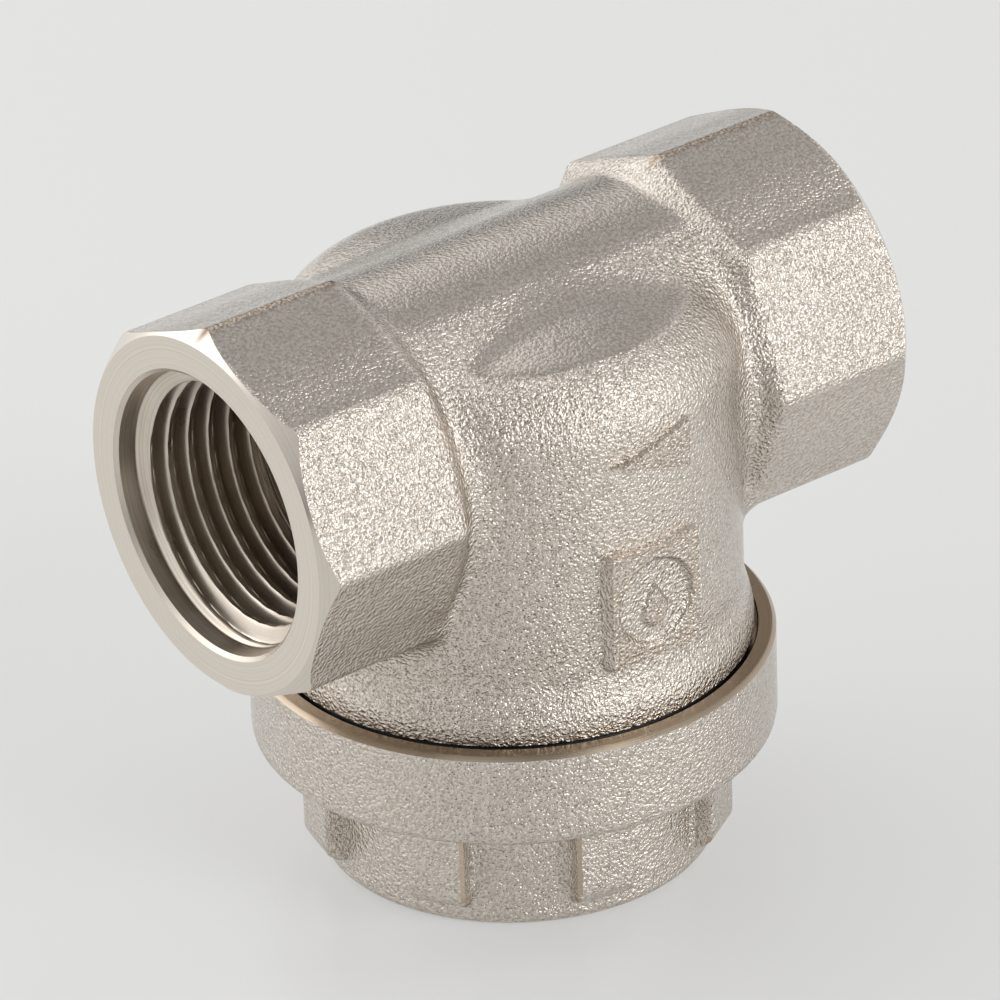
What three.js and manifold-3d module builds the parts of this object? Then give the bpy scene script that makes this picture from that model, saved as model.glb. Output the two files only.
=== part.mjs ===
// In-line pot strainer for a 1/2 inch water line: a forged brass body with two female ports on one
// straight axis, a screen standing in the chamber below that axis, and a screwed cap that holds it.
// Millimetres, +Z up. X is the pipe axis, -Y is the marked front, and the cap's base is at Z = 0.

import * as THREE from 'three';
import { mergeVertices } from 'three/addons/utils/BufferGeometryUtils.js';
import Module from 'manifold-3d';

const wasm = await Module();
wasm.setup();

// Overall
const BODY_LENGTH = 54;
const PIPE_AXIS_Z = 36;
const SEAL_GAP = 0.3;
const SLIDE_CLEARANCE = 0.3;
const FOOT_CLEARANCE = 0.2;

// Ports: eight-sided ends with a parallel 1/2 inch pipe thread
const END_CORNER_RADIUS = 14.6;
const END_LENGTH = 12.9;
const END_FACE_RADIUS = 13.4;
const PORT_MAJOR_RADIUS = 10.4775;
const PORT_MINOR_RADIUS = 9.3155;
const PORT_PITCH = 1.814;
const PORT_CREST_WIDTH = 0.3;
const PORT_FLANK_ANGLE = 27.5;
const PORT_THREAD_LENGTH = 12.4;
const PORT_LEAD_IN = 1.6;
const PORT_CHAMFER = 0.45;
const BORE_RADIUS = 8.8;
const BARREL_RADIUS = 12.7;

// Chamber
const CHAMBER_RADIUS = 17.2;
const CHAMBER_TOP_Z = 46.9;
const CHAMBER_DOME_RADIUS = 52;
const CHAMBER_EDGE_ROUND = 4;
const CHAMBER_WALL = 2.8;
const ROOF_THICKNESS = 5.6;
const FOOT_STEP = 1;
const FOOT_HEIGHT = 2.2;
const FOOT_BLEND = 1.4;

// Screen seat inside the chamber
const SEAT_Z = 25;
const SEAT_BORE_RADIUS = 9;
const SEAT_WALL = 3;
const GASKET_THICKNESS = 0.8;
const GASKET_WIDTH = 1.7;
const SEAT_LAP = 0.3;
const OUTLET_POCKET_X = -3;

// Cap joint: parallel 1.5 mm thread, right-hand
const CAP_PITCH = 1.5;
const TOOTH_SINK = 0.08;
const SPIGOT_WALL = 1.6;
const CAP_TOOTH_DEPTH = 0.9;
const CAP_TOOTH_CREST_WIDTH = 0.25;
const CAP_INNER_CREST_WIDTH = 0.2;
const CAP_FLANK_ANGLE = 30;
const CAP_THREAD_CLEARANCE = 0.25;
const CAP_FLANK_CLEARANCE = 0.15;
const SEAL_SECTION = 1.5;

// Cap
const SKIRT_WALL = 1.4;
const SKIRT_BOTTOM_Z = 9.5;
const SKIRT_TOP_Z = 17;
const SKIRT_BEVEL = 0.3;
const LEDGE_THICKNESS = 1.8;
const COUNTERBORE_DEPTH = 1.7;
const GRIP_WALL = 2.6;
const LUG_RISE = 1.55;
const LUG_ROOT = 1.2;
const LUG_WIDTH = 4.4;
const LUG_COUNT = 8;
const LUG_BASE_Z = 1.8;
const LUG_START_ANGLE = -59.8;
const FLOOR_THICKNESS = 2.5;
const WELL_STEP_WIDTH = 1.4;
const WELL_STEP_HEIGHT = 2;
const BASE_BEVEL = 0.4;

// Screen
const SUPPORT_WALL = 0.4;
const MESH_WALL = 0.3;
const SCREEN_LAYER_GAP = 0.25;
const COLLAR_WALL = 0.55;
const COLLAR_HEIGHT = 3;
const COLLAR_FLANGE = 0.6;
const HOLE_DIAMETER = 3.2;
const HOLE_ROWS = 3;
const HOLE_COLUMNS = 8;

// Raised marks on the front
const PAD_WIDTH = 9;
const PAD_HEIGHT = 10;
const PAD_CENTRE_X = -0.3;
const PAD_CENTRE_Z = 26.5;
const PAD_CORNER = 0.9;
const MARK_RAISE = 0.4;
const ARROW_LENGTH = 8;
const ARROW_HEIGHT = 4.7;
const ARROW_CENTRE_X = -0.5;
const ARROW_CENTRE_Z = 38.1;

// Facets round a full turn. A thread's tooth and the wall that it stands on share one count.
const FINE = 40;
const MEDIUM = 32;
const COARSE = 20;

const nickelCast = new THREE.MeshStandardMaterial({ color: 0xb3aca4, roughness: 0.42, metalness: 1 });
const rubber = new THREE.MeshStandardMaterial({ color: 0x1c1c1d, roughness: 0.7, metalness: 0 });
const stainless = new THREE.MeshStandardMaterial({ color: 0xb9bbbd, roughness: 0.3, metalness: 1 });
const gasketFibre = new THREE.MeshStandardMaterial({ color: 0xe4e1d8, roughness: 0.6, metalness: 0 });

const rad = (degrees) => (degrees * Math.PI) / 180;

// Solids from three.js geometries

function solid(geometry) {
  const bare = geometry.clone();
  bare.deleteAttribute('normal');
  bare.deleteAttribute('uv');
  const merged = mergeVertices(bare, 1e-4);
  const index = merged.index.array;
  const corners = [];
  for (let i = 0; i < index.length; i += 3) {
    const [a, b, c] = [index[i], index[i + 1], index[i + 2]];
    if (a !== b && b !== c && c !== a) corners.push(a, b, c);
  }
  const vertProperties = new Float32Array(merged.attributes.position.array);
  const triVerts = new Uint32Array(corners);
  return new wasm.Manifold(new wasm.Mesh({ numProp: 3, vertProperties, triVerts }));
}

function node(name, body, material) {
  const mesh = body.getMesh();
  const geometry = new THREE.BufferGeometry();
  geometry.setAttribute('position', new THREE.BufferAttribute(mesh.vertProperties, 3));
  geometry.setIndex(new THREE.BufferAttribute(mesh.triVerts, 1));
  geometry.computeVertexNormals();
  const part = new THREE.Mesh(geometry, material);
  part.name = name;
  return part;
}

// A profile of [radius, height] points turned about Z. It runs anticlockwise in that plane, and it
// closes on itself or starts and ends on the axis.
function turned(profile, facets) {
  const points = profile.map(([radius, height]) => new THREE.Vector2(radius, height));
  const onAxis = profile[0][0] === 0 && profile[profile.length - 1][0] === 0;
  if (!onAxis) points.push(points[0].clone());
  const geometry = new THREE.LatheGeometry(points, facets);
  geometry.rotateX(Math.PI / 2);
  return solid(geometry);
}

function rod(radius, bottom, top, facets) {
  return turned([[0, bottom], [radius, bottom], [radius, top], [0, top]], facets);
}

function ring(inner, outer, bottom, top, facets) {
  return turned([[inner, bottom], [outer, bottom], [outer, top], [inner, top]], facets);
}

// Lays a solid that was turned about Z along the pipe axis, with its +Z towards +X or -X.
function alongPipe(body, direction) {
  return body.rotate([0, 90 * direction, 0]).translate([0, 0, PIPE_AXIS_Z]);
}

// A straight bar with the tooth's section, wound round Z as a right-hand helix. Its flanks run on
// into the wall that it stands on.
function helicalTooth({ baseRadius, crestRadius, crestWidth, flankAngle, pitch, turns, startZ, facets }) {
  const sunkRadius = baseRadius + TOOTH_SINK * Math.sign(baseRadius - crestRadius);
  const halfCrest = crestWidth / 2;
  const halfSunk = halfCrest + Math.abs(sunkRadius - crestRadius) * Math.tan(rad(flankAngle));
  const points = [
    [-halfSunk, sunkRadius],
    [-halfCrest, crestRadius],
    [halfCrest, crestRadius],
    [halfSunk, sunkRadius],
  ];
  const outline = new THREE.Shape(points.map(([along, radius]) => new THREE.Vector2(along, radius)));
  const steps = Math.round(turns * facets);
  const bar = new THREE.ExtrudeGeometry(outline, { depth: turns, steps, bevelEnabled: false });
  const position = bar.attributes.position;
  for (let i = 0; i < position.count; i += 1) {
    const turn = position.getZ(i);
    const radius = position.getY(i);
    const angle = turn * 2 * Math.PI;
    const height = startZ + position.getX(i) + turn * pitch;
    position.setXYZ(i, radius * Math.cos(angle), radius * Math.sin(angle), height);
  }
  return solid(bar);
}

// A flat outline in X and Z, standing from the depth y = back towards -Y as far as y = front.
function frontRelief(outline, back, front) {
  const depth = back - front;
  const geometry = new THREE.ExtrudeGeometry(outline, { depth, bevelEnabled: false, curveSegments: 4 });
  geometry.rotateX(Math.PI / 2);
  geometry.translate(0, back, 0);
  return solid(geometry);
}

function arc(centreRadius, centreHeight, radius, from, to, steps) {
  const points = [];
  for (let i = 0; i <= steps; i += 1) {
    const angle = rad(from + ((to - from) * i) / steps);
    points.push([centreRadius + radius * Math.cos(angle), centreHeight + radius * Math.sin(angle)]);
  }
  return points;
}

// Places that follow from the sizes

const chamberBore = CHAMBER_RADIUS - CHAMBER_WALL;
const spigotCore = chamberBore + SPIGOT_WALL;
const spigotCrest = spigotCore + CAP_TOOTH_DEPTH;
const footRadius = spigotCrest + FOOT_STEP;
const counterboreRadius = footRadius + FOOT_CLEARANCE;
const skirtRadius = counterboreRadius + SKIRT_WALL;
const chamberRoofZ = CHAMBER_TOP_Z - ROOF_THICKNESS;
const footBottomZ = SKIRT_TOP_Z + SEAL_GAP;
const ledgeZ = SKIRT_BOTTOM_Z + LEDGE_THICKNESS;
const spigotEndZ = ledgeZ + SEAL_GAP;
const counterboreZ = SKIRT_TOP_Z - COUNTERBORE_DEPTH;
const seatOuterRadius = SEAT_BORE_RADIUS + SEAT_WALL;
const gasketOuterRadius = SEAT_BORE_RADIUS + GASKET_WIDTH;
const gasketTopZ = SEAT_Z + GASKET_THICKNESS + 0.1;
const supportInner = SEAT_BORE_RADIUS - SEAT_LAP;
const supportOuter = supportInner + SUPPORT_WALL;
const meshInnerRadius = supportOuter + SCREEN_LAYER_GAP;
const meshOuterRadius = meshInnerRadius + MESH_WALL;
const collarOuterRadius = meshOuterRadius + SLIDE_CLEARANCE + COLLAR_WALL;
const wellStepRadius = collarOuterRadius + SLIDE_CLEARANCE;
const wellRadius = wellStepRadius + WELL_STEP_WIDTH;
const gripRadius = wellRadius + GRIP_WALL;
const lugRadius = gripRadius + LUG_RISE;
const screenBottomZ = FLOOR_THICKNESS + SEAL_GAP;
const screenTopZ = gasketTopZ - GASKET_THICKNESS - SEAL_GAP;

const sealTopZ = footBottomZ - 0.1;
const sealBottomZ = sealTopZ - SEAL_SECTION;

// The two cap threads, half a pitch apart so that they are in mesh when the cap is home. The cap's
// tooth reaches as deep into the spigot's groove as its flanks allow, and never to the core.
const capFlank = Math.tan(rad(CAP_FLANK_ANGLE));
const flatsAndGaps = CAP_TOOTH_CREST_WIDTH + CAP_INNER_CREST_WIDTH + 2 * CAP_FLANK_CLEARANCE;
const fullOverlap = (CAP_PITCH - flatsAndGaps) / (2 * capFlank);
const threadOverlap = Math.min(fullOverlap, CAP_TOOTH_DEPTH - CAP_THREAD_CLEARANCE);
const spigotTooth = {
  baseRadius: spigotCore,
  crestRadius: spigotCrest,
  crestWidth: CAP_TOOTH_CREST_WIDTH,
  flankAngle: CAP_FLANK_ANGLE,
  pitch: CAP_PITCH,
  startZ: spigotEndZ + CAP_PITCH / 2,
  turns: (sealBottomZ - SEAL_GAP - spigotEndZ) / CAP_PITCH - 1,
  facets: MEDIUM,
};
const capTooth = {
  ...spigotTooth,
  baseRadius: spigotCrest + CAP_THREAD_CLEARANCE,
  crestRadius: spigotCrest - threadOverlap,
  crestWidth: CAP_INNER_CREST_WIDTH + 2 * (fullOverlap - threadOverlap) * capFlank,
  startZ: spigotEndZ,
  turns: (counterboreZ - spigotEndZ) / CAP_PITCH - 0.5,
};

// Body

// The chamber's low dome meets its wall in a round edge that is tangent to both.
function bodyForging() {
  const domeCentreZ = CHAMBER_TOP_Z - CHAMBER_DOME_RADIUS;
  const edgeX = CHAMBER_RADIUS - CHAMBER_EDGE_ROUND;
  const edgeRise = Math.sqrt((CHAMBER_DOME_RADIUS - CHAMBER_EDGE_ROUND) ** 2 - edgeX ** 2);
  const edgeZ = domeCentreZ + edgeRise;
  const edgeAngle = (Math.atan2(edgeRise, edgeX) * 180) / Math.PI;
  const foot = arc(footRadius - 0.3, footBottomZ + 0.3, 0.3, -90, 0, 2);
  const chamber = turned([
    [0, footBottomZ],
    ...foot,
    [footRadius, footBottomZ + FOOT_HEIGHT],
    [CHAMBER_RADIUS, footBottomZ + FOOT_HEIGHT + FOOT_BLEND],
    ...arc(edgeX, edgeZ, CHAMBER_EDGE_ROUND, 0, edgeAngle, 4),
    ...arc(0, domeCentreZ, CHAMBER_DOME_RADIUS, edgeAngle, 90, 3),
  ], FINE);
  const half = BODY_LENGTH / 2;
  let forging = chamber.add(alongPipe(rod(BARREL_RADIUS, 1 - half, half - 1, MEDIUM), 1));
  for (const side of [-1, 1]) forging = forging.add(eightSidedEnd(side));
  return forging.add(frontPad()).add(flowArrow());
}

// One end: an eight-sided bar with a corner at the top, its outer corners turned off at 45 degrees.
function eightSidedEnd(side) {
  const half = BODY_LENGTH / 2;
  const bar = new THREE.CylinderGeometry(END_CORNER_RADIUS, END_CORNER_RADIUS, END_LENGTH, 8);
  bar.rotateX(Math.PI / 2);
  bar.translate(0, 0, half - END_LENGTH / 2);
  const reach = half - END_FACE_RADIUS;
  const turnedOff = turned([
    [0, 0],
    [END_CORNER_RADIUS + reach, 0],
    [END_CORNER_RADIUS + 1, half - (END_CORNER_RADIUS + 1 - END_FACE_RADIUS)],
    [END_FACE_RADIUS, half],
    [0, half],
  ], FINE);
  return alongPipe(solid(bar).intersect(turnedOff), side);
}

function frontPad() {
  const [w, h, c] = [PAD_WIDTH / 2, PAD_HEIGHT / 2, PAD_CORNER];
  const outline = new THREE.Shape();
  outline.moveTo(-w + c, -h);
  outline.lineTo(w - c, -h);
  outline.absarc(w - c, -h + c, c, -Math.PI / 2, 0);
  outline.lineTo(w, h - c);
  outline.absarc(w - c, h - c, c, 0, Math.PI / 2);
  outline.lineTo(-w + c, h);
  outline.absarc(-w + c, h - c, c, Math.PI / 2, Math.PI);
  outline.lineTo(-w, -h + c);
  outline.absarc(-w + c, -h + c, c, Math.PI, 1.5 * Math.PI);
  const pad = frontRelief(outline, -chamberBore - 0.5, -CHAMBER_RADIUS - MARK_RAISE);
  return pad.translate([PAD_CENTRE_X, 0, PAD_CENTRE_Z]);
}

// The flow arrow points from the inlet at +X to the outlet at -X.
function flowArrow() {
  const outline = new THREE.Shape();
  outline.moveTo(-ARROW_LENGTH / 2, 0);
  outline.lineTo(ARROW_LENGTH / 2, -ARROW_HEIGHT / 2);
  outline.lineTo(ARROW_LENGTH / 2, ARROW_HEIGHT / 2);
  outline.closePath();
  const arrow = frontRelief(outline, -chamberBore - 0.5, -CHAMBER_RADIUS - MARK_RAISE);
  return arrow.translate([ARROW_CENTRE_X, 0, ARROW_CENTRE_Z]);
}

function spigot() {
  const top = footBottomZ + 1;
  const neck = rod(spigotCore, spigotEndZ, top, spigotTooth.facets);
  return neck.add(helicalTooth(spigotTooth));
}

// Everything that water fills: the port bores, the chamber with its screen, and the pocket that
// takes strained water up behind the seat wall to the outlet.
function waterSpace() {
  const half = BODY_LENGTH / 2;
  const lower = rod(chamberBore, spigotEndZ - 1, SEAT_Z, FINE);
  const gasketSeat = rod(gasketOuterRadius + 0.2, SEAT_Z - 1, gasketTopZ + SEAL_GAP, MEDIUM);
  const throat = rod(SEAT_BORE_RADIUS, SEAT_Z - 1, chamberRoofZ, MEDIUM);
  const inletBore = alongPipe(rod(BORE_RADIUS, 0, half - PORT_THREAD_LENGTH, MEDIUM), 1);
  const outletBore = alongPipe(rod(BORE_RADIUS, 0, half - PORT_THREAD_LENGTH, MEDIUM), -1);
  const seatWall = rod(seatOuterRadius, SEAT_Z, CHAMBER_TOP_Z + BARREL_RADIUS, MEDIUM);
  const outletSide = new THREE.BoxGeometry(chamberBore * 2, chamberBore * 3, chamberRoofZ * 2);
  outletSide.translate(OUTLET_POCKET_X - chamberBore, 0, 0);
  const pocket = rod(chamberBore, SEAT_Z - 1, chamberRoofZ, FINE).intersect(solid(outletSide));
  const outletWay = pocket.add(outletBore).subtract(seatWall);
  return lower.add(gasketSeat).add(throat).add(inletBore).add(outletWay);
}

function portCut(side) {
  const half = BODY_LENGTH / 2;
  const cut = turned([
    [0, half - PORT_THREAD_LENGTH - (PORT_MAJOR_RADIUS - BORE_RADIUS)],
    [BORE_RADIUS, half - PORT_THREAD_LENGTH - (PORT_MAJOR_RADIUS - BORE_RADIUS)],
    [PORT_MAJOR_RADIUS, half - PORT_THREAD_LENGTH],
    [PORT_MAJOR_RADIUS, half - PORT_CHAMFER],
    [PORT_MAJOR_RADIUS + PORT_CHAMFER, half],
    [PORT_MAJOR_RADIUS + PORT_CHAMFER, half + 1],
    [0, half + 1],
  ], COARSE);
  return alongPipe(cut, side);
}

function portThread(side) {
  const half = BODY_LENGTH / 2;
  const usable = PORT_THREAD_LENGTH - PORT_LEAD_IN - PORT_PITCH / 2;
  const tooth = helicalTooth({
    baseRadius: PORT_MAJOR_RADIUS,
    crestRadius: PORT_MINOR_RADIUS,
    crestWidth: PORT_CREST_WIDTH,
    flankAngle: PORT_FLANK_ANGLE,
    pitch: PORT_PITCH,
    turns: usable / PORT_PITCH - 0.5,
    startZ: half - PORT_THREAD_LENGTH + PORT_PITCH / 2,
    facets: COARSE,
  });
  return alongPipe(tooth, side);
}

function valveBody() {
  let body = bodyForging().add(spigot()).subtract(waterSpace());
  for (const side of [-1, 1]) body = body.subtract(portCut(side)).add(portThread(side));
  return body;
}

// Cap

function lug(angle) {
  const depth = LUG_RISE + LUG_ROOT;
  const outline = new THREE.Shape();
  outline.moveTo(0, LUG_BASE_Z);
  outline.lineTo(LUG_ROOT, LUG_BASE_Z);
  outline.absarc(LUG_ROOT, LUG_BASE_Z + LUG_RISE, LUG_RISE, -Math.PI / 2, 0);
  outline.lineTo(depth, SKIRT_BOTTOM_Z + 0.5);
  outline.lineTo(0, SKIRT_BOTTOM_Z + 0.5);
  const size = { depth: LUG_WIDTH, bevelEnabled: false, curveSegments: 5 };
  const bar = new THREE.ExtrudeGeometry(outline, size);
  bar.rotateX(Math.PI / 2);
  bar.translate(lugRadius - depth, LUG_WIDTH / 2, 0);
  return solid(bar).rotate([0, 0, angle]);
}

function cap() {
  const outside = turned([
    [0, 0],
    [gripRadius - BASE_BEVEL, 0],
    [gripRadius, BASE_BEVEL],
    [gripRadius, SKIRT_BOTTOM_Z],
    [skirtRadius - SKIRT_BEVEL, SKIRT_BOTTOM_Z],
    [skirtRadius, SKIRT_BOTTOM_Z + SKIRT_BEVEL],
    [skirtRadius, SKIRT_TOP_Z - SKIRT_BEVEL],
    [skirtRadius - SKIRT_BEVEL, SKIRT_TOP_Z],
    [0, SKIRT_TOP_Z],
  ], FINE);
  const stepZ = FLOOR_THICKNESS + WELL_STEP_HEIGHT;
  const inside = turned([
    [0, FLOOR_THICKNESS],
    [wellStepRadius, FLOOR_THICKNESS],
    [wellStepRadius, stepZ],
    [wellRadius, stepZ],
    [wellRadius, ledgeZ],
    [capTooth.baseRadius, ledgeZ],
    [capTooth.baseRadius, counterboreZ],
    [counterboreRadius, counterboreZ],
    [counterboreRadius, SKIRT_TOP_Z + 1],
    [0, SKIRT_TOP_Z + 1],
  ], capTooth.facets);
  let body = outside;
  for (let i = 0; i < LUG_COUNT; i += 1) body = body.add(lug(LUG_START_ANGLE - 90 + (360 / LUG_COUNT) * i));
  return body.subtract(inside).add(helicalTooth(capTooth));
}

// Screen and seals

function supportTube() {
  const bottom = screenBottomZ + COLLAR_FLANGE + SEAL_GAP;
  const top = screenTopZ - COLLAR_FLANGE - SEAL_GAP;
  let tube = ring(supportInner, supportOuter, bottom, top, COARSE);
  const free = top - bottom - 2 * COLLAR_HEIGHT;
  for (let row = 0; row < HOLE_ROWS; row += 1) {
    const height = bottom + COLLAR_HEIGHT + (free * (row + 0.5)) / HOLE_ROWS;
    for (let column = 0; column < HOLE_COLUMNS / 2; column += 1) {
      const drill = new THREE.CylinderGeometry(HOLE_DIAMETER / 2, HOLE_DIAMETER / 2, supportOuter * 3, 6);
      drill.rotateZ(rad((360 / HOLE_COLUMNS) * (column + 0.5 * (row % 2))));
      drill.translate(0, 0, height);
      tube = tube.subtract(solid(drill));
    }
  }
  return tube;
}

function meshSleeve() {
  const bottom = screenBottomZ + COLLAR_FLANGE + SEAL_GAP;
  const top = screenTopZ - COLLAR_FLANGE - SEAL_GAP;
  return ring(meshInnerRadius, meshOuterRadius, bottom, top, MEDIUM);
}

// An angle-section ring: a flange across the screen's end and a wall round its outside.
function collar(endZ, direction) {
  const wallInner = collarOuterRadius - COLLAR_WALL;
  const profile = [
    [supportInner, 0],
    [collarOuterRadius, 0],
    [collarOuterRadius, COLLAR_HEIGHT],
    [wallInner, COLLAR_HEIGHT],
    [wallInner, COLLAR_FLANGE],
    [supportInner, COLLAR_FLANGE],
  ];
  const upright = turned(profile, MEDIUM);
  const placed = direction > 0 ? upright : upright.rotate([180, 0, 0]);
  return placed.translate([0, 0, endZ]);
}

function seatGasket() {
  return ring(SEAT_BORE_RADIUS, gasketOuterRadius, gasketTopZ - GASKET_THICKNESS, gasketTopZ, MEDIUM);
}

function sealRing() {
  const section = SEAL_SECTION / 2;
  const radius = spigotCore + 0.1 + section;
  const height = sealTopZ - section;
  return turned(arc(radius, height, section, 0, 360 - 360 / 8, 7), MEDIUM);
}

const strainer = new THREE.Group();
strainer.add(node('valve_body', valveBody(), nickelCast));
strainer.add(node('screw_cap', cap(), nickelCast));
strainer.add(node('cap_seal_ring', sealRing(), rubber));
strainer.add(node('seat_gasket', seatGasket(), gasketFibre));
strainer.add(node('screen_support', supportTube(), stainless));
strainer.add(node('screen_mesh', meshSleeve(), stainless));
strainer.add(node('screen_lower_collar', collar(screenBottomZ, 1), stainless));
strainer.add(node('screen_upper_collar', collar(screenTopZ, -1), stainless));

export default strainer;
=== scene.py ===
"""In-line pot strainer: finished surfaces, finishes and studio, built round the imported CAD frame."""

import logging
import math
from dataclasses import dataclass
from enum import Enum
from itertools import product
from typing import Callable

import bpy
import numpy as np
from mathutils import Matrix, Vector


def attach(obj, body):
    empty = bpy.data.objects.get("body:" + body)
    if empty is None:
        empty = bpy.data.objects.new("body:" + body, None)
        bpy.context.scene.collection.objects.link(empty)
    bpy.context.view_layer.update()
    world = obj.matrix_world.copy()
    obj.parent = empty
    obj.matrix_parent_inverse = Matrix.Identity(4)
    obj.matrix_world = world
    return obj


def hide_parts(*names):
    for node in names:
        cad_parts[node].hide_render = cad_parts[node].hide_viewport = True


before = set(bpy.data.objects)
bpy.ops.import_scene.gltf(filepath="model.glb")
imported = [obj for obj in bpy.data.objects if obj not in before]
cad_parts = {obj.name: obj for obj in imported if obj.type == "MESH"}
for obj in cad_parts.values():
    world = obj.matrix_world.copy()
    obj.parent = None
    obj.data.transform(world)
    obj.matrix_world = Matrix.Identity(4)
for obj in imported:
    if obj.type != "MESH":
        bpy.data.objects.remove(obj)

LOG = logging.getLogger("strainer")
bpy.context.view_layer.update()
MM = 0.001
TURN = 2.0 * math.pi
# Height of the pipe's axis above the table, in millimetres.
PIPE_Z = 36.0
# How far a cutting shape runs past the surface that it cuts off.
CLEAR = 2.0
# How near a face is to a turned surface, and to a forging's skin, to count as part of it.
NEAR = 0.02
SKIN = 0.05
# Steps that bring a contour's vertices onto its surface.
NEWTON_STEPS = 3

Array = np.ndarray
Field = Callable[[Array, Array, Array], Array]
Piece = bpy.types.Object


class Along(Enum):
    """Which way a turned shape's own +Z axis points once it is in place."""

    CHAMBER = "chamber"
    INLET = "inlet"
    OUTLET = "outlet"

    def place(self, points: Array) -> Array:
        """Turns points built round Z onto this axis; the two ports also rise to the pipe's height."""
        x, y, z = points.T
        if self is Along.INLET:
            return np.stack([z, y, PIPE_Z - x], axis=1)
        if self is Along.OUTLET:
            return np.stack([-z, y, PIPE_Z + x], axis=1)
        return points


# ---------------------------------------------------------------- surfaces


def make_object(name: str, points: Array, faces: Array | list, smooth_angle: float = 40.0) -> Piece:
    """Puts a surface into the scene as one mesh object.

    Args:
        name: the piece's name.
        points: N x 3 vertex places in millimetres.
        faces: rows of vertex numbers, or a list of such arrays.
        smooth_angle: edges that bend more than this many degrees stay sharp.

    Returns:
        The new object, in metres, at the origin.
    """
    groups = faces if isinstance(faces, list) else [faces]
    sizes = np.concatenate([np.full(len(group), group.shape[1]) for group in groups])
    corners = np.concatenate([group.ravel() for group in groups]).astype(np.int32)
    mesh = bpy.data.meshes.new(name)
    mesh.vertices.add(len(points))
    mesh.vertices.foreach_set("co", (points * MM).astype(np.float32).ravel())
    mesh.loops.add(len(corners))
    mesh.loops.foreach_set("vertex_index", corners)
    mesh.polygons.add(len(sizes))
    starts = np.concatenate([[0], np.cumsum(sizes)[:-1]]).astype(np.int32)
    mesh.polygons.foreach_set("loop_start", starts)
    mesh.update(calc_edges=True)
    mesh.validate()
    obj = bpy.data.objects.new(name, mesh)
    bpy.context.scene.collection.objects.link(obj)
    shade(obj, smooth_angle)
    return obj


def shade(obj: Piece, smooth_angle: float) -> None:
    """Shades a mesh smooth and leaves its steeper edges sharp.

    Args:
        obj: the piece.
        smooth_angle: edges that bend more than this many degrees stay sharp.
    """
    mesh = obj.data
    mesh.polygons.foreach_set("use_smooth", np.ones(len(mesh.polygons), dtype=bool))
    mesh.set_sharp_from_angle(angle=math.radians(smooth_angle))
    mesh.update()


def turned(name: str, profile: list, columns: int = 128, along: Along = Along.CHAMBER) -> Piece:
    """A profile carried once round an axis.

    Point (i, j) is (r_i cos t_j, r_i sin t_j, h_i), for the profile's points i and equal angles t_j.
    A profile that starts and ends on the axis is closed by its own end points; any other one is
    closed by joining its last row to its first.

    Args:
        name: the piece's name.
        profile: [radius, height] points in millimetres, anticlockwise with the axis on the left.
        columns: steps round the axis.
        along: the axis that the shape lies on.

    Returns:
        The closed object.
    """
    outline = np.array(profile, dtype=float)
    angle = np.arange(columns) * TURN / columns
    capped = outline[0, 0] == 0 and outline[-1, 0] == 0
    rows = outline[1:-1] if capped else outline
    ring = np.stack([np.cos(angle), np.sin(angle)], axis=1)
    points = np.empty((len(rows), columns, 3))
    points[..., :2] = rows[:, None, :1] * ring[None]
    points[..., 2] = rows[:, None, 1]
    grid = np.arange(len(rows) * columns).reshape(len(rows), columns)
    if not capped:
        grid = np.vstack([grid, grid[:1]])
    faces = [quads(grid, wrap=True)]
    points = points.reshape(-1, 3)
    if capped:
        ends = np.array([[0, 0, outline[0, 1]], [0, 0, outline[-1, 1]]])
        faces += fans(grid, len(points))
        points = np.vstack([points, ends])
    return make_object(name, along.place(points), faces)


def quads(grid: Array, wrap: bool) -> Array:
    """Four-sided faces between the rows and columns of a grid.

    Args:
        grid: vertex numbers, one row above the other.
        wrap: whether the last column joins the first.

    Returns:
        Rows of four vertex numbers.
    """
    right = np.roll(grid, -1, axis=1)
    if not wrap:
        grid, right = grid[:, :-1], right[:, :-1]
    return np.stack([grid[:-1], right[:-1], right[1:], grid[1:]], axis=-1).reshape(-1, 4)


def fans(grid: Array, first: int) -> list:
    """Triangles that close a wrapped grid at both ends.

    Args:
        grid: vertex numbers, one row above the other.
        first: number of the point that closes the first row; the next one closes the last row.

    Returns:
        The triangles of the first row and those of the last.
    """
    low, high = grid[0], grid[-1]
    bottom = np.stack([np.full(len(low), first), np.roll(low, -1), low], axis=1)
    top = np.stack([np.full(len(high), first + 1), high, np.roll(high, -1)], axis=1)
    return [bottom, top]


def quads_between(grid: Array) -> Array:
    """Four-sided faces along many tubes at once, for vertex numbers in order tube, ring, corner."""
    right = np.roll(grid, -1, axis=2)
    return np.stack([grid[:, :-1], right[:, :-1], right[:, 1:], grid[:, 1:]], axis=-1).reshape(-1, 4)


def weld(points: Array, faces: Array) -> tuple:
    """Joins vertices that lie within a thousandth of a millimetre of each other."""
    _, first, where = np.unique(np.round(points, 3), axis=0, return_index=True, return_inverse=True)
    return points[first], where.ravel()[faces]


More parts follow.
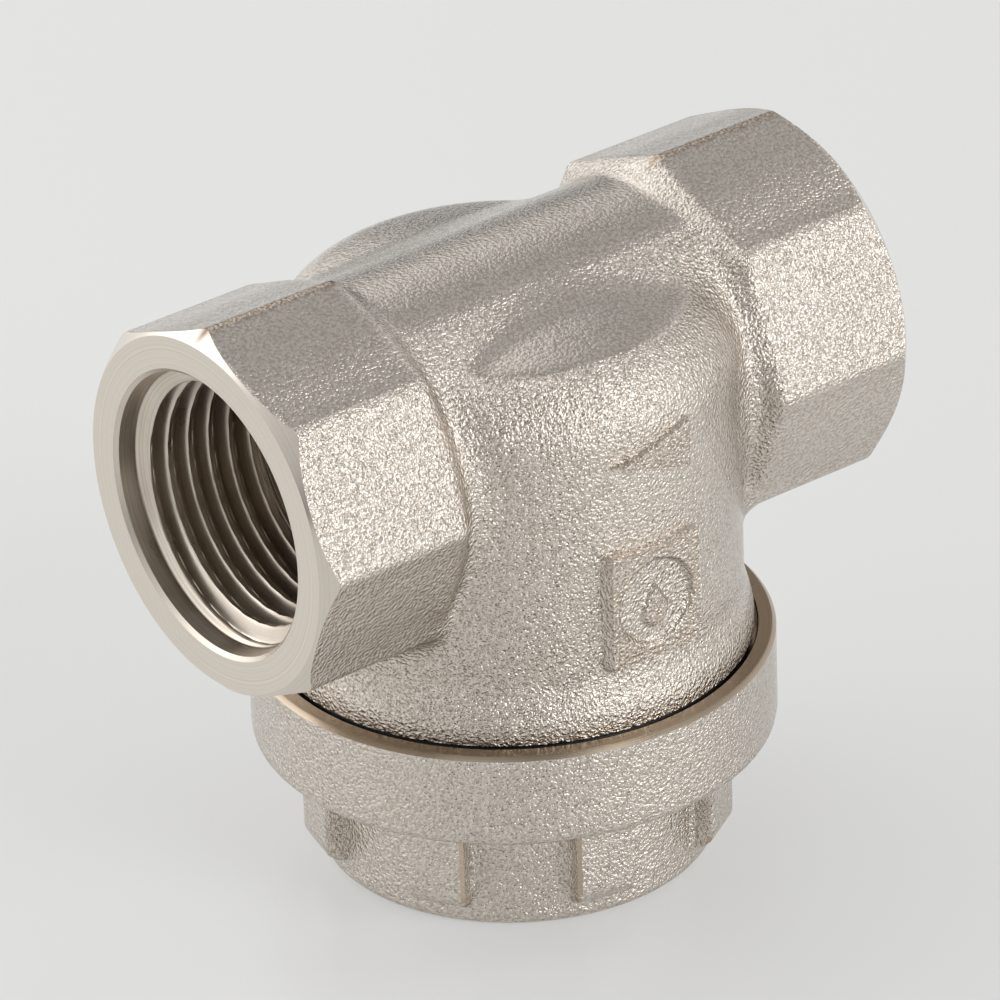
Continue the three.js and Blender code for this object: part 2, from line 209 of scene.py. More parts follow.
def radial(name: str, radius: Callable[[Array, Array], Array], heights: Array, columns: int,
           along: Along = Along.CHAMBER) -> Piece:
    """A closed column whose radius is a function of angle and height, such as a screw thread.

    Point (i, j) is (r cos t_j, r sin t_j, h_i) with r = radius(t_j, h_i).

    Args:
        name: the piece's name.
        radius: gives the radius in millimetres at an array of angles and heights.
        heights: the rows' heights, rising.
        columns: steps round the axis.
        along: the axis that the shape lies on.

    Returns:
        The closed object.
    """
    angle = np.arange(columns) * TURN / columns
    theta, height = np.meshgrid(angle, heights)
    r = radius(theta, height)
    points = np.stack([r * np.cos(theta), r * np.sin(theta), height], axis=-1).reshape(-1, 3)
    grid = np.arange(len(points)).reshape(len(heights), columns)
    ends = np.array([[0, 0, heights[0]], [0, 0, heights[-1]]])
    faces = [quads(grid, wrap=True)] + fans(grid, len(points))
    return make_object(name, along.place(np.vstack([points, ends])), faces)


def contour(name: str, shape: Field, low: Array, high: Array, cell: float) -> Piece:
    """The surface where a field of signed distance is nought, by the surface-nets rule.

    Each grid cell that the surface crosses gets one vertex, at the mean of the crossings on its
    twelve edges. Newton steps, p - f grad f / |grad f|^2, then put it on the surface. Each
    grid edge that the surface crosses gets one four-sided face between its four cells.

    Args:
        name: the piece's name.
        shape: signed distance in millimetres, negative inside, for arrays x, y and z.
        low: the grid's lowest corner, outside the shape.
        high: the grid's highest corner, outside the shape.
        cell: grid spacing in millimetres.

    Returns:
        The closed object.
    """
    axes = [np.arange(a, b + cell, cell) for a, b in zip(low, high)]
    value = shape(axes[0][:, None, None], axes[1][None, :, None], axes[2][None, None, :])
    inside = value < 0
    cells = tuple(n - 1 for n in value.shape)

    def corner(array: Array, dx: int, dy: int, dz: int) -> Array:
        """The array's values at one corner of every cell."""
        return array[dx:dx + cells[0], dy:dy + cells[1], dz:dz + cells[2]]

    total = np.zeros(cells + (3,), dtype=np.float32)
    count = np.zeros(cells, dtype=np.float32)
    for axis in range(3):
        for side in range(4):
            start = np.insert([side & 1, side >> 1], axis, 0)
            end = start.copy()
            end[axis] = 1
            a, b = corner(value, *start), corner(value, *end)
            crossed = (a < 0) != (b < 0)
            share = np.where(crossed, a / np.where(crossed, a - b, 1), 0)
            for k in range(3):
                total[..., k] += crossed * (start[k] + (share if k == axis else 0))
            count += crossed
    active = count > 0
    number = np.full(cells, -1, dtype=np.int64)
    number[active] = np.arange(active.sum())
    origin = np.array([axis[0] for axis in axes])
    points = origin + cell * (np.argwhere(active) + total[active] / count[active][:, None])

    faces = []
    for axis in range(3):
        u, v = [k for k in range(3) if k != axis]
        first = np.moveaxis(inside, [axis, u, v], [0, 1, 2])
        numbers = np.moveaxis(number, [axis, u, v], [0, 1, 2])
        here = first[:-1, 1:-1, 1:-1]
        there = first[1:, 1:-1, 1:-1]
        around = np.stack([
            numbers[:, :-1, :-1], numbers[:, 1:, :-1], numbers[:, 1:, 1:], numbers[:, :-1, 1:],
        ], axis=-1)
        leaving = around[here & ~there]
        entering = around[~here & there][:, ::-1]
        both = np.concatenate([leaving, entering])
        faces.append(both if axis != 1 else both[:, ::-1])
    for _ in range(NEWTON_STEPS):
        points = points - newton_step(shape, points, cell)
    return make_object(name, points, np.concatenate(faces), smooth_angle=60.0)


def newton_step(shape: Field, points: Array, cell: float) -> Array:
    """One Newton step, f grad f / |grad f|^2, with central differences.

    Args:
        shape: the field of signed distance.
        points: N x 3 places.
        cell: grid spacing; no step is longer than half of it.

    Returns:
        What to take from each point.
    """
    step, least_slope = 0.02, 0.05
    f = shape(*points.T)
    slope = np.empty_like(points)
    for k in range(3):
        shift = np.zeros(3)
        shift[k] = step
        slope[:, k] = (shape(*(points + shift).T) - shape(*(points - shift).T)) / (2 * step)
    move = (f / np.maximum((slope ** 2).sum(axis=1), least_slope))[:, None] * slope
    size = np.linalg.norm(move, axis=1, keepdims=True)
    return move * np.minimum(1, 0.5 * cell / np.maximum(size, 1e-9))


def relief(name: str, height: Callable[[Array, Array], Array], half_width: float, half_height: float,
           step: float, centre: tuple, back: float) -> Piece:
    """A block whose front, towards -Y, is a height field over X and Z.

    Front point (i, j) is (x_i, -height(x_i, z_j), z_j) and the back is flat at y = -back.

    Args:
        name: the piece's name.
        height: distance of the front from the chamber's axis, at arrays of local x and z.
        half_width: half the block's size along X.
        half_height: half the block's size along Z.
        step: grid spacing in millimetres.
        centre: the block's centre, x and z.
        back: distance of the flat back from the chamber's axis.

    Returns:
        The closed object.
    """
    u = np.linspace(-half_width, half_width, round(2 * half_width / step) + 1)
    v = np.linspace(-half_height, half_height, round(2 * half_height / step) + 1)
    x, z = np.meshgrid(u, v, indexing="ij")
    front = np.stack([x + centre[0], -height(x, z), z + centre[1]], axis=-1).reshape(-1, 3)
    rear = front.copy()
    rear[:, 1] = -back
    grid = np.arange(len(front)).reshape(x.shape)
    rim = np.concatenate([grid[:-1, 0], grid[-1, :-1], grid[:0:-1, -1], grid[0, :0:-1]])
    loop = np.stack([rim, rim + len(front)])
    faces = [quads(grid, wrap=False)[:, ::-1], quads(grid, wrap=False) + len(front),
             quads(loop, wrap=True)[:, ::-1]]
    return make_object(name, np.vstack([front, rear]), [np.concatenate(faces)])


def combine(base: Piece, tool: Piece, how: str) -> Piece:
    """Joins, cuts or intersects base with tool and removes tool.

    Args:
        base: the closed piece that is kept.
        tool: the closed shape used on it.
        how: UNION, DIFFERENCE or INTERSECT.

    Returns:
        base, with its new mesh.
    """
    modifier = base.modifiers.new("cut", "BOOLEAN")
    modifier.operation = how
    modifier.object = tool
    modifier.solver = "MANIFOLD"
    graph = bpy.context.evaluated_depsgraph_get()
    mesh = bpy.data.meshes.new_from_object(base.evaluated_get(graph))
    base.modifiers.clear()
    old, cutter = base.data, tool.data
    base.data = mesh
    bpy.data.objects.remove(tool)
    bpy.data.meshes.remove(cutter)
    bpy.data.meshes.remove(old)
    return base


# ---------------------------------------------------------------- distance fields


def round_union(a: Array, b: Array, radius: float) -> Array:
    """Joins two fields with a hollow fillet.

    The result is max(min(a, b), r) - |(max(r - a, 0), max(r - b, 0))|.
    """
    return np.maximum(np.minimum(a, b), radius) - np.hypot(
        np.maximum(radius - a, 0), np.maximum(radius - b, 0))


def round_meet(a: Array, b: Array, radius: float) -> Array:
    """Intersects two fields with a rounded edge.

    The result is min(max(a, b), -r) + |(max(r + a, 0), max(r + b, 0))|.
    """
    return np.minimum(np.maximum(a, b), -radius) + np.hypot(
        np.maximum(radius + a, 0), np.maximum(radius + b, 0))


def smooth_size(value: Array, edge: float) -> Array:
    """The size of a value without its sign, rounded off at nought: sqrt(v^2 + e^2)."""
    return np.sqrt(value ** 2 + edge ** 2)


def ramp(value: Array, start: float, end: float) -> Array:
    """0 at start and 1 at end, with a smooth s-shaped rise between: t^2 (3 - 2t)."""
    t = np.clip((value - start) / (end - start), 0, 1)
    return t * t * (3 - 2 * t)


def arc(centre: tuple, radius: float, start: float, end: float, steps: int = 6) -> list:
    """Points on a round stretch of a profile, between two angles in degrees."""
    angles = np.radians(np.linspace(start, end, steps + 1))
    return [[centre[0] + radius * math.cos(a), centre[1] + radius * math.sin(a)] for a in angles]


def round_box(left: float, right: float, low: float, high: float, radius: float) -> list:
    """The outline of an oblong with round corners, anticlockwise.

    Args:
        left: least radius.
        right: greatest radius.
        low: least height.
        high: greatest height.
        radius: of the corners.

    Returns:
        [radius, height] points.
    """
    corners = [(right - radius, low + radius, -90), (right - radius, high - radius, 0),
               (left + radius, high - radius, 90), (left + radius, low + radius, 180)]
    return [point for u, v, start in corners for point in arc((u, v), radius, start, start + 90, 3)]


# ---------------------------------------------------------------- threads


@dataclass(frozen=True)
class Thread:
    """A right-hand screw thread.

    At angle t and height h the tooth's phase is (h - p t / 2 pi) / p. The tooth is highest where
    the phase is a whole number, and its height falls along straight flanks, eased at both ends.
    """

    inner: float
    outer: float
    pitch: float
    start: float
    end: float
    offset: float = 0.0
    flat: float = 0.16
    fade: float = 0.35

    def height(self, theta: Array, height: Array) -> Array:
        """How much of a full tooth stands at each place.

        Args:
            theta: angles round the axis.
            height: heights along the axis.

        Returns:
            0 at the root, 1 at the crest, and between them on the flanks and the run-outs.
        """
        turns = (height - self.offset) / self.pitch - theta / TURN
        phase = np.abs(turns - np.round(turns)) * 2
        flank = np.clip((1 - phase - self.flat) / (1 - 2 * self.flat), 0, 1)
        rounded = flank * flank * (3 - 2 * flank)
        tooth = 0.55 * flank + 0.45 * rounded
        reach = self.fade * self.pitch
        return tooth * ramp(height, self.start, self.start + reach) * (
            1 - ramp(height, self.end - reach, self.end))

    def rows(self, per_pitch: int = 14) -> Array:
        """Heights for a grid's rows along the threaded length."""
        count = max(4, round((self.end - self.start) / self.pitch * per_pitch))
        return np.linspace(self.start, self.end, count + 1)


# ---------------------------------------------------------------- finishes


def linear(code: str) -> tuple:
    """Turns an sRGB hex colour into linear red, green, blue and a full alpha."""
    parts = [int(code[i:i + 2], 16) / 255 for i in (1, 3, 5)]
    return tuple(p / 12.92 if p <= 0.04045 else ((p + 0.055) / 1.055) ** 2.4 for p in parts) + (1.0,)


def per_mm(size: float) -> float:
    """The scale of a texture whose pattern is about this many millimetres across."""
    return 1.0 / (size * MM)


def add(tree: bpy.types.NodeTree, kind: str, inputs: dict | None = None,
        **settings: object) -> bpy.types.Node:
    """Adds a node, with its settings and what its sockets hold.

    Args:
        tree: the node tree.
        kind: the node's type.
        inputs: for each input's name or number, a value or the output socket that feeds it.
        settings: the node's own properties.

    Returns:
        The new node.
    """
    node = tree.nodes.new(kind)
    for name, value in settings.items():
        setattr(node, name, value)
    for socket, value in (inputs or {}).items():
        if isinstance(value, bpy.types.NodeSocket):
            tree.links.new(value, node.inputs[socket])
        else:
            node.inputs[socket].default_value = value
    return node


def blank(name: str) -> tuple:
    """Starts a material.

    Args:
        name: the material's name.

    Returns:
        The material, its empty node tree, and a socket that gives Object coordinates.
    """
    material = bpy.data.materials.new(name)
    material.use_nodes = True
    material.node_tree.nodes.clear()
    place = add(material.node_tree, "ShaderNodeTexCoord").outputs["Object"]
    return material, material.node_tree, place


def shader(tree: bpy.types.NodeTree, inputs: dict) -> None:
    """Ends a material with a Principled shader."""
    surface = add(tree, "ShaderNodeBsdfPrincipled", inputs)
    add(tree, "ShaderNodeOutputMaterial", {"Surface": surface.outputs["BSDF"]})


@dataclass(frozen=True)
class BlastedNickel:
    """Nickel plate on forged brass that was shot-blasted first.

    The shot leaves dimples about a quarter of a millimetre across on a slight swell. Their bottoms
    are painted a darker grey: painted shade in the pits, partly also duller plate there. The plate
    makes their sides glitter on lit flats, and a warm brass tint shows where it is thin, on edges
    and raised marks. The piece's own attribute "shot" says how hard each place was blasted, and
    "tint" how much brass shows there.
    """

    name: str = "blasted_nickel_plate"
    plate: str = "#D9D1C8"
    # Painted shade: the dimples' bottoms take this darker colour, partly also duller plate in the pits.
    hollow: str = "#C2B8AC"
    tint: str = "#957B5C"
    roughness: tuple = (0.1, 0.17)
    dimple: float = 0.245
    dimple_depth: float = 0.112
    swell: float = 1.3
    swell_depth: float = 0.02
    cloud: float = 7.0
    metallic: float = 1.0

    def material(self) -> bpy.types.Material:
        """Builds the node material."""
        material, tree, place = blank(self.name)
        grain = add(tree, "ShaderNodeTexNoise", {
            "Vector": place, "Scale": per_mm(self.dimple), "Detail": 1.5, "Roughness": 0.55})
        swell = add(tree, "ShaderNodeTexNoise", {
            "Vector": place, "Scale": per_mm(self.swell), "Detail": 1.0, "Roughness": 0.5})
        cloud = add(tree, "ShaderNodeTexNoise", {
            "Vector": place, "Scale": per_mm(self.cloud), "Detail": 2.0, "Roughness": 0.5})
        # The grain's low points, the dimples' bottoms, take the hollow colour: painted shade there.
        base = add(tree, "ShaderNodeMix", {
            "Factor": add(tree, "ShaderNodeMapRange", {
                "Value": grain.outputs["Fac"], "From Min": 0.36, "From Max": 0.58}).outputs["Result"],
            "A": linear(self.hollow), "B": linear(self.plate)}, data_type="RGBA")
        worn = add(tree, "ShaderNodeMath", {
            0: add(tree, "ShaderNodeAttribute", attribute_name="tint").outputs["Fac"],
            1: add(tree, "ShaderNodeMapRange", {
                "Value": grain.outputs["Fac"], "From Min": 0.62, "From Max": 0.36,
                "To Min": 0.25}).outputs["Result"]}, operation="MULTIPLY")
        colour = add(tree, "ShaderNodeMix", {
            "Factor": worn.outputs[0], "A": base.outputs["Result"], "B": linear(self.tint)},
            data_type="RGBA")
        rough = add(tree, "ShaderNodeMapRange", {
            "Value": cloud.outputs["Fac"], "From Min": 0.3, "From Max": 0.7,
            "To Min": self.roughness[0], "To Max": self.roughness[1]})
        wide = add(tree, "ShaderNodeBump", {
            "Height": swell.outputs["Fac"], "Strength": 1.0, "Distance": self.swell_depth * MM})
        shot = add(tree, "ShaderNodeAttribute", attribute_name="shot")
        fine = add(tree, "ShaderNodeBump", {
            "Height": grain.outputs["Fac"], "Strength": shot.outputs["Fac"],
            "Distance": self.dimple_depth * MM * 2, "Normal": wide.outputs["Normal"]})
        shader(tree, {"Base Color": colour.outputs["Result"], "Metallic": self.metallic,
                      "Roughness": rough.outputs["Result"], "Normal": fine.outputs["Normal"]})
        return material


@dataclass(frozen=True)
class TurnedNickel:
    """Nickel plate on faces cut in a lathe: smoother than the forging, with fine rings round the axis.

    The ring pattern is read at (distance from the axis) - lean x (distance along it), so that it
    runs round flat faces, chamfers and bores alike.
    """

    name: str
    plate: str = "#E6DFD6"
    groove: str = "#CFC5B8"
    tint: str = "#7D6A55"
    roughness: float = 0.2
    ring: float = 0.16
    ring_depth: float = 0.0025
    lean: float = 0.8
    cloud: float = 5.0
    about_pipe: bool = True
    metallic: float = 1.0

    def material(self) -> bpy.types.Material:
        """Builds the node material."""
        material, tree, place = blank(self.name)
        axis = (0.0, 0.0, PIPE_Z * MM) if self.about_pipe else (0.0, 0.0, 0.0)
        across = (0.0, 1.0, 1.0) if self.about_pipe else (1.0, 1.0, 0.0)
        along = (1.0, 0.0, 0.0) if self.about_pipe else (0.0, 0.0, 1.0)
        moved = add(tree, "ShaderNodeVectorMath", {0: place, 1: axis}, operation="SUBTRACT")
        spoke = add(tree, "ShaderNodeVectorMath", {0: moved.outputs[0], 1: across}, operation="MULTIPLY")
        radius = add(tree, "ShaderNodeVectorMath", {0: spoke.outputs[0]}, operation="LENGTH")
        depth = add(tree, "ShaderNodeVectorMath", {0: moved.outputs[0], 1: along},
                    operation="DOT_PRODUCT")
        size = add(tree, "ShaderNodeMath", {0: depth.outputs["Value"]}, operation="ABSOLUTE")
        track = add(tree, "ShaderNodeMath", {
            0: size.outputs[0], 1: -self.lean, 2: radius.outputs["Value"]}, operation="MULTIPLY_ADD")
        rings = add(tree, "ShaderNodeTexNoise", {
            "W": track.outputs[0], "Scale": per_mm(self.ring), "Detail": 2.0, "Roughness": 0.6},
            noise_dimensions="1D")
        cloud = add(tree, "ShaderNodeTexNoise", {
            "Vector": place, "Scale": per_mm(self.cloud), "Detail": 2.0})
        base = add(tree, "ShaderNodeMix", {
            "Factor": rings.outputs["Fac"], "A": linear(self.groove), "B": linear(self.plate)},
            data_type="RGBA")
        # The tint attribute mixes in the tint colour: brass on the cap's faced rim, and painted shade
        # deep in the ports.
        colour = add(tree, "ShaderNodeMix", {
            "Factor": add(tree, "ShaderNodeAttribute", attribute_name="tint").outputs["Fac"],
            "A": base.outputs["Result"], "B": linear(self.tint)}, data_type="RGBA")
        rough = add(tree, "ShaderNodeMapRange", {
            "Value": cloud.outputs["Fac"], "From Min": 0.3, "From Max": 0.7,
            "To Min": self.roughness * 0.75, "To Max": self.roughness * 1.3})
        bump = add(tree, "ShaderNodeBump", {
            "Height": rings.outputs["Fac"], "Strength": 1.0, "Distance": self.ring_depth * MM * 2})
        shader(tree, {"Base Color": colour.outputs["Result"], "Metallic": self.metallic,
                      "Roughness": rough.outputs["Result"], "Normal": bump.outputs["Normal"]})
        return material


@dataclass(frozen=True)
class Moulded:
    """A moulded, drawn or skived piece with one colour, a soft mottle and a fine surface grain."""

    name: str
    colour: str
    mottle: str
    roughness: float
    grain: float
    grain_depth: float
    metallic: float = 0.0
    stretch: tuple = (1.0, 1.0, 1.0)
    cloud: float = 3.0

    def material(self) -> bpy.types.Material:
        """Builds the node material."""
        material, tree, place = blank(self.name)
        drawn = add(tree, "ShaderNodeMapping", {"Vector": place, "Scale": self.stretch})
        grain = add(tree, "ShaderNodeTexNoise", {
            "Vector": drawn.outputs["Vector"], "Scale": per_mm(self.grain), "Detail": 2.0})
        cloud = add(tree, "ShaderNodeTexNoise", {
            "Vector": place, "Scale": per_mm(self.cloud), "Detail": 2.0})
        colour = add(tree, "ShaderNodeMix", {
            "Factor": cloud.outputs["Fac"], "A": linear(self.colour), "B": linear(self.mottle)},
            data_type="RGBA")
        rough = add(tree, "ShaderNodeMapRange", {
            "Value": grain.outputs["Fac"], "From Min": 0.3, "From Max": 0.7,
            "To Min": self.roughness * 0.85, "To Max": self.roughness * 1.15})
        bump = add(tree, "ShaderNodeBump", {
            "Height": grain.outputs["Fac"], "Strength": 1.0, "Distance": self.grain_depth * MM})
        shader(tree, {"Base Color": colour.outputs["Result"], "Metallic": self.metallic,
                      "Roughness": rough.outputs["Result"], "Normal": bump.outputs["Normal"]})
        return material


BLASTED = BlastedNickel()
TURNED_END = TurnedNickel("turned_nickel_plate")
# Threads and bores; their tint colour, mixed in deep in the ports, is painted shade.
THREADED = TurnedNickel("threaded_nickel_plate", plate="#E2DACF", groove="#BFB3A4", roughness=0.33,
                        ring=0.09, ring_depth=0.0012)
TURNED_CAP = TurnedNickel("turned_cap_plate", plate="#CDBFAE", groove="#A8967F", roughness=0.24,
                          about_pipe=False)
RUBBER = Moulded("moulded_nitrile_rubber", "#151514", "#232220", 0.5, 0.2, 0.004)
PTFE = Moulded("skived_ptfe", "#ECEAE4", "#DEDBD2", 0.42, 0.3, 0.004)
SHEET = Moulded("rolled_stainless_sheet", "#C9C8C6", "#B9B8B5", 0.3, 0.12, 0.002, 1.0, (1.0, 1.0, 0.05))
WIRE = Moulded("drawn_stainless_wire", "#C6C4C0", "#B2B0AB", 0.28, 0.1, 0.001, 1.0)


def dress(obj: Piece, finishes: list, choice: Array | None = None) -> None:
    """Gives an object its materials.

    Args:
        obj: the piece.
        finishes: its finishes, in slot order.
        choice: the slot number of each face; every face takes the first slot without it.
    """
    obj.data.materials.clear()
    for finish in finishes:
        obj.data.materials.append(bpy.data.materials.get(finish.name) or finish.material())
    numbers = np.zeros(len(obj.data.polygons)) if choice is None else choice
    obj.data.polygons.foreach_set("material_index", numbers.astype(np.int32))


def read(items: bpy.types.bpy_prop_collection, name: str) -> Array:
    """Reads a property that has three parts.

    Args:
        items: a mesh's vertices or faces.
        name: the property.

    Returns:
        A three-row array with a column for each vertex or face.
    """
    values = np.empty(len(items) * 3, dtype=np.float32)
    items.foreach_get(name, values)
    return values.reshape(-1, 3).T.astype(float)


def note(obj: Piece, name: str, values: Array) -> None:
    """Keeps one number for each vertex, for the finishes to read.

    Args:
        obj: the piece.
        name: the attribute's name.
        values: a number for each vertex, held to between 0 and 1.
    """
    attribute = obj.data.attributes.new(name, "FLOAT", "POINT")
    attribute.data.foreach_set("value", np.clip(values, 0, 1).astype(np.float32))


def fit(piece: Piece, body: str, node: str) -> None:
    """Sets a finished piece in the frame.

    Args:
        piece: the dressed piece.
        body: the moving body that carries it.
        node: the CAD node that it stands for.
    """
    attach(piece, body)
    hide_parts(node)
    LOG.info("%s: %d faces, on %s, for %s", piece.name, len(piece.data.polygons), body, node)


# ---------------------------------------------------------------- body


@dataclass(frozen=True)
class FrontMarks:
    """The raised marks on the chamber's front: a plain badge with a drop on it, and a flow arrow."""

    pad_centre: tuple = (-0.3, 26.5)
    pad_half: tuple = (4.5, 5.0)
    pad_corner: float = 0.9
    pad_slope: float = 0.5
    face: float = 17.6
    sunk: float = 16.2
    back: float = 15.2
    dish: float = 3.5
    dish_depth: float = 0.4
    dish_slope: float = 0.45
    drop_shift: float = 0.35
    drop_slope: tuple = (-0.1, 0.35)
    drop_radius: float = 1.25
    drop_low: float = 0.5
    drop_tip: float = 1.95
    drop_angle: float = 31.0
    arrow_centre: tuple = (-0.5, 38.1)
    arrow_half: tuple = (4.0, 2.35)
    arrow_slope: float = 0.45
    step: float = 0.1

    def badge_height(self, x: Array, z: Array) -> Array:
        """A rounded square with sloping sides, with a raised water drop in a round dish.

        Args:
            x: places across the badge, from its centre.
            z: places up it.

        Returns:
            The front's distance from the chamber's axis.
        """
        qx = np.abs(x) - self.pad_half[0] + self.pad_corner
        qz = np.abs(z) - self.pad_half[1] + self.pad_corner
        outside = np.hypot(np.maximum(qx, 0), np.maximum(qz, 0)) + np.minimum(np.maximum(qx, qz), 0)
        edge = self.pad_corner - outside
        block = self.sunk + (self.face - self.sunk) * ramp(edge, 0.0, self.pad_slope)
        dish = self.dish_depth * ramp(self.dish - np.hypot(x, z), 0.0, self.dish_slope)
        drop = self.drop_distance(x, z + self.drop_shift)
        return block - dish + self.dish_depth * ramp(-drop, *self.drop_slope)

    def drop_distance(self, x: Array, z: Array) -> Array:
        """A drop's outline: a circle below and two straight tangents to a point above.

        Args:
            x: places across the drop.
            z: places up it.

        Returns:
            Rough distance, negative inside.
        """
        round_part = np.hypot(x, z + self.drop_low) - self.drop_radius
        slope = math.radians(self.drop_angle)
        point = np.abs(x) * math.cos(slope) + (z - self.drop_tip) * math.sin(slope)
        cone = np.maximum(point, -(z + 0.2))
        return np.minimum(round_part, cone)

    def arrow_height(self, x: Array, z: Array) -> Array:
        """A solid triangle with sloping sides that points to -X, towards the outlet.

        Args:
            x: places along the arrow, from its centre.
            z: places up it.

        Returns:
            The front's distance from the chamber's axis.
        """
        half_x, half_z = self.arrow_half
        slope = math.atan2(half_z, 2 * half_x)
        side = (x + half_x) * math.sin(slope) - np.abs(z) * math.cos(slope)
        inside = np.minimum(side, half_x - x)
        return self.sunk + (self.face - self.sunk) * ramp(inside, 0.0, self.arrow_slope)

    def pad(self) -> Piece:
        """The badge as a closed block that runs back into the body."""
        return relief("badge", self.badge_height, *self.pad_half, self.step, self.pad_centre, self.back)

    def arrow(self) -> Piece:
        """The arrow as a closed block that runs back into the body."""
        return relief("arrow", self.arrow_height, *self.arrow_half, self.step, self.arrow_centre,
                      self.back)


@dataclass
class BodyCasting:
    """The hot-forged body: barrel, chamber and two eight-sided ends in one piece, then machined."""

    half_length: float = 27.0
    face_radius: float = 13.4
    end_flat: float = 13.49
    end_inner_x: float = 14.1
    end_shoulder_round: float = 0.9
    flat_edge_round: float = 0.35
    ridge_round: float = 0.25
    corner_cut: float = 0.9
    barrel_radius: float = 12.7
    chamber_radius: float = 17.2
    chamber_top: float = 46.9
    dome_radius: float = 52.0
    chamber_edge: float = 4.0
    foot_radius: float = 17.9
    foot_bottom: float = 17.02
    foot_top: float = 21.6
    foot_straight: float = 0.8
    foot_edge: tuple = (-0.07, 0.03, 0.1)
    end_fillet: float = 1.5
    barrel_fillet: float = 0.9
    allowance: float = 0.7
    cell: float = 0.42
    grid_past_ends: float = 1.3
    grid_past_sides: float = 1.1
    grid_top: float = 15.9
    wall_bore: float = 14.4
    seat_z: float = 25.0
    seat_bore: float = 9.0
    seat_wall: float = 12.0
    roof_z: float = 41.3
    gasket_recess: float = 10.9
    gasket_top: float = 26.2
    roof_round: float = 2.5
    bore: float = 8.8
    bore_chamfer: float = 0.5
    bore_chamfer_rise: tuple = (0.2, 0.7)
    spigot_end: float = 11.6
    spigot_edge: float = 0.15
    run_out: tuple = (13.0, 14.5, 14.55)
    lead_in: float = 0.2
    lead_in_start: float = 1.5
    lead_in_length: float = 1.2
    mouth_chamfer: float = 0.3
    mouth_rows: tuple = (-1.5, -1.2, -0.9, -0.6, -0.3, -0.15, 0.0, 1.0)
    pocket_box: tuple = ((-30.0, -3.0), (-20.0, 20.0), (10.0, 60.0))
    port: Thread = Thread(9.3155, 10.4775, 1.814, 14.6, 25.4, offset=15.51)
    spigot: Thread = Thread(16.0, 16.9, 1.5, 11.75, 15.4, offset=12.35)
    marks: FrontMarks = FrontMarks()
    flash_width: float = 0.4
    flash_rise: tuple = (49.5, 50.2)
    marks_tint: float = 0.4
    # Painted shade in the ports: a darker, browner tint on the bore that grows with depth in from the
    # mouth.
    port_painted_shade: float = 0.35
    port_painted_shade_root: tuple = (2.5, 3.4)
    port_painted_shade_depth: tuple = (4.0, 11.0)
    level: tuple = (0.86, 0.91)
    spared: float = 0.74

    def shape(self, x: Array, y: Array, z: Array) -> Array:
        """The rough forging, which runs past its machined faces by an allowance.

        Args:
            x: places along the pipe.
            y: places across it.
            z: heights.

        Returns:
            Signed distance, negative inside.
        """
        rise = z - PIPE_Z
        barrel = np.hypot(y, rise) - self.barrel_radius
        across, up = smooth_size(y, self.ridge_round), smooth_size(rise, self.ridge_round)
        s, c = math.sin(math.pi / 8), math.cos(math.pi / 8)
        flats = round_meet(across * s + up * c - self.end_flat, across * c + up * s - self.end_flat,
                           self.flat_edge_round)
        end = round_meet(flats, self.end_inner_x - np.abs(x), self.end_shoulder_round)
        flare = 1 - ramp(z, self.foot_bottom + self.foot_straight, self.foot_top)
        wall = np.hypot(x, y) - self.chamber_radius - (self.foot_radius - self.chamber_radius) * flare
        above = z - self.chamber_top + self.dome_radius
        dome = np.sqrt(x ** 2 + y ** 2 + above ** 2) - self.dome_radius
        chamber = round_meet(wall, dome, self.chamber_edge)
        whole = round_union(round_union(barrel, chamber, self.barrel_fillet), end, self.end_fillet)
        machined = np.maximum(np.abs(x) - self.half_length, self.foot_bottom - z)
        return np.maximum(whole, machined - self.allowance)

    def build(self) -> None:
        """Makes the body, dresses it and sets it in the frame."""
        body = self.forge()
        self.dress(body)
        fit(body, "body", "valve_body")

    def forge(self) -> Piece:
        """Forges the outside, adds the spigot and marks, and cuts every machined surface."""
        ends, sides = self.grid_past_ends, self.grid_past_sides
        low = np.array([-self.half_length - ends, -self.foot_radius - sides, self.foot_bottom - sides])
        high = np.array([self.half_length + ends, self.foot_radius + sides, PIPE_Z + self.grid_top])
        body = contour("valve_body_casting", self.shape, low, high, self.cell)
        combine(body, self.foot_cut(), "DIFFERENCE")
        combine(body, self.spigot_column(), "UNION")
        combine(body, self.marks.pad(), "UNION")
        combine(body, self.marks.arrow(), "UNION")
        combine(body, self.turned_ends(), "INTERSECT")
        combine(body, self.chamber_cut(), "DIFFERENCE")
        combine(body, self.port_cut(Along.INLET, 0.0, 20), "DIFFERENCE")
        combine(body, self.outlet_cut(), "DIFFERENCE")
        shade(body, 32.0)
        return body

    def turned_ends(self) -> Piece:
        """Two cones about the pipe axis that face the ends and turn off their corners at 45 degrees."""
        half, face, cut = self.half_length, self.face_radius, self.corner_cut
        profile = [[0, -half], [face, -half], [face + cut, -half + cut], [face + half, 0],
                   [face + cut, half - cut], [face, half], [0, half]]
        return turned("turned_ends", profile, 192, Along.INLET)

    def foot_cut(self) -> Piece:
        """The lathe's cut under the foot: flat, with the sharp lower edge just broken."""
        bottom, edge = self.foot_bottom, self.foot_radius
        inner, outer, rise = self.foot_edge
        profile = [[0, bottom - CLEAR], [edge + CLEAR, bottom - CLEAR], [edge + CLEAR, bottom + rise],
                   [edge + outer, bottom + rise], [edge + inner, bottom], [0, bottom]]
        return turned("foot_cut", profile, 256)

    def spigot_column(self) -> Piece:
        """The round spigot under the body, with the cap's male thread."""
        thread, end, edge = self.spigot, self.spigot_end, self.spigot_edge
        neck, root = thread.end + 0.2, self.foot_bottom + 1.5
        heights = np.concatenate([[end, end + edge], thread.rows(), [neck, root]])

        def radius(theta: Array, height: Array) -> Array:
            """Core radius plus the tooth, less a small chamfer at the end."""
            chamfer = np.clip(end + edge - height, 0, edge)
            return thread.inner - chamfer + (thread.outer - thread.inner) * thread.height(theta, height)

        return radial("spigot", radius, heights, 160)

